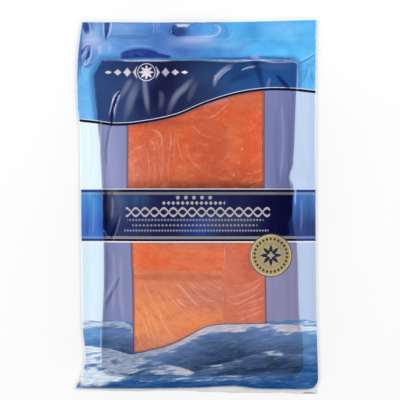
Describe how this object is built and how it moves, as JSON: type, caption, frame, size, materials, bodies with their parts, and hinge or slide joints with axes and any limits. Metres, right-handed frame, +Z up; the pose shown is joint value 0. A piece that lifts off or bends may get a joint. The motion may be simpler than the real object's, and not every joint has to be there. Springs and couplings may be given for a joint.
{
  "type": "pack of smoked salmon",
  "caption": "Flat sealed film pouch with a hang slot, drawn tight over a board with a block of sliced smoked salmon, lying on its back.",
  "frame": {"origin": "middle of the footprint, on the surface that the pouch's flat back lies on", "axes": "+Z up out of the printed side, +Y towards the header with the hang slot, +X to the right of someone who looks down at the print"},
  "size_m": [0.1616, 0.2462, 0.0117],
  "materials": {
    "printed_film": "clear glossy film with blue and gold print over orange salmon"
  },
  "bodies": {
    "root": {"pouch": "printed_film"}
  },
  "joints": []
}
